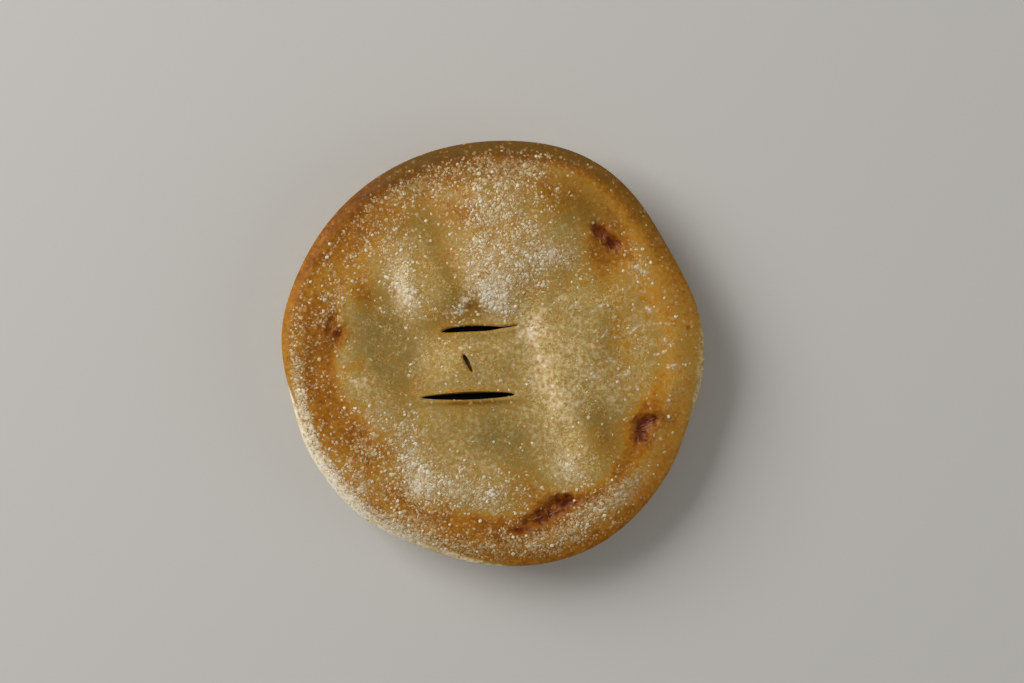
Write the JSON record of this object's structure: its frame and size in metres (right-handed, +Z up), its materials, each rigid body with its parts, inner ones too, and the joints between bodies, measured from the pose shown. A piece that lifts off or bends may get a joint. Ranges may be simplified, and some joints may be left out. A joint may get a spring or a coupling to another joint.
{
  "type": "apple pie",
  "caption": "Whole round double-crust apple pie with a thick rolled rim, steam slits in the lid, torn caramelised spots and coarse baked-on sugar, standing on a flat bottom.",
  "frame": {"origin": "on the flat bottom, under the middle of the outline's bounding box", "axes": "+Z up through the lid; +X and +Y lie along the bottom, and both steam slits run nearly along X"},
  "size_m": [0.2198, 0.2212, 0.0431],
  "materials": {
    "crust": "baked golden-brown pastry, satin, with coarse sugar baked on",
    "sugar": "coarse white sugar crystals, slightly toasted"
  },
  "bodies": {
    "root": {"pie": "crust"}
  },
  "joints": []
}
